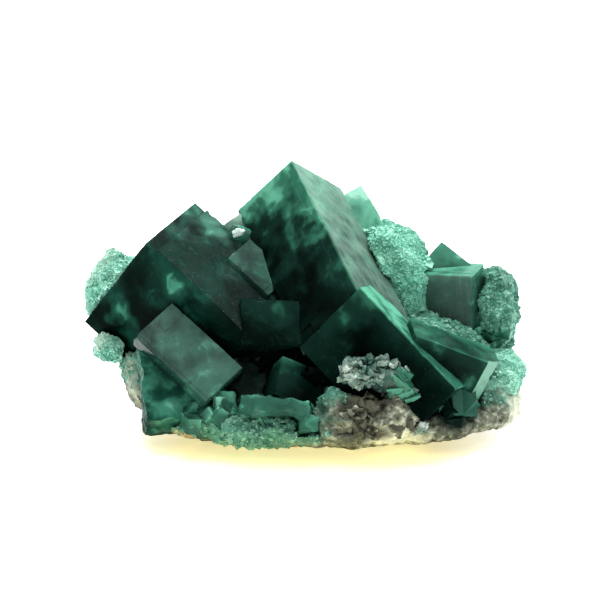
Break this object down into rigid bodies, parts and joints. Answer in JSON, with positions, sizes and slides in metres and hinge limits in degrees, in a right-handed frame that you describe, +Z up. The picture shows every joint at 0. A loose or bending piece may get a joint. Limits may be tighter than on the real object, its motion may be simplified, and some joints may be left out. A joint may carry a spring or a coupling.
{
  "type": "fluorite specimen",
  "caption": "Cluster of green cubic fluorite crystals with sugary pale green druse on a lump of pale rock matrix, standing on one flat foot.",
  "frame": {"origin": "on the surface the specimen stands on, under the middle of its bounding box", "axes": "+Z up, +X to the right along the long side, -Y towards the viewer of the display side"},
  "size_m": [0.0813, 0.0544, 0.0448],
  "materials": {
    "matrix_rock": "rough granular pale rock with brown and grey patches",
    "dark_fluorite": "glassy, almost black green in the middle, greener at thin edges",
    "deep_fluorite": "glassy dark green with cloudy mint wisps, satin on upper faces",
    "mid_fluorite": "satin grey-green, finely striated",
    "mint_fluorite": "translucent mint green",
    "pale_fluorite": "pale, cleaved and sugary",
    "sugar_druse": "crust of tiny sparkling pale green crystals"
  },
  "bodies": {
    "root": {"matrix": "matrix_rock", "crystal_right": "dark_fluorite", "crystal_tall": "dark_fluorite", "crystal_right_low": "dark_fluorite", "crystal_centre": "dark_fluorite", "crystal_centre_low": "dark_fluorite", "crystal_left": "deep_fluorite", "crystal_lower_left": "deep_fluorite", "crystal_right_foot": "deep_fluorite", "crystal_back_left": "deep_fluorite", "crystal_back_middle": "deep_fluorite", "crystal_front_left": "mid_fluorite", "crystal_saddle": "mid_fluorite", "crystal_upper_right": "mid_fluorite", "crystal_ridge_right": "mid_fluorite", "crystal_base_long": "mid_fluorite", "crystal_base_block": "mid_fluorite", "crystal_base_small": "mid_fluorite", "crystal_base_cube": "mid_fluorite", "crystal_back_right": "mid_fluorite", "crystal_back_low": "mid_fluorite", "crystal_back_small": "mid_fluorite", "crystal_behind_tall": "mint_fluorite", "plate_saddle": "mint_fluorite", "crystal_cleaved": "pale_fluorite", "crystal_base_bead": "pale_fluorite", "sliver_saddle": "pale_fluorite", "druse_left": "sugar_druse", "druse_under_left": "sugar_druse", "druse_right": "sugar_druse", "druse_far_right": "sugar_druse", "druse_low_right": "sugar_druse", "druse_back": "sugar_druse"}
  },
  "joints": []
}
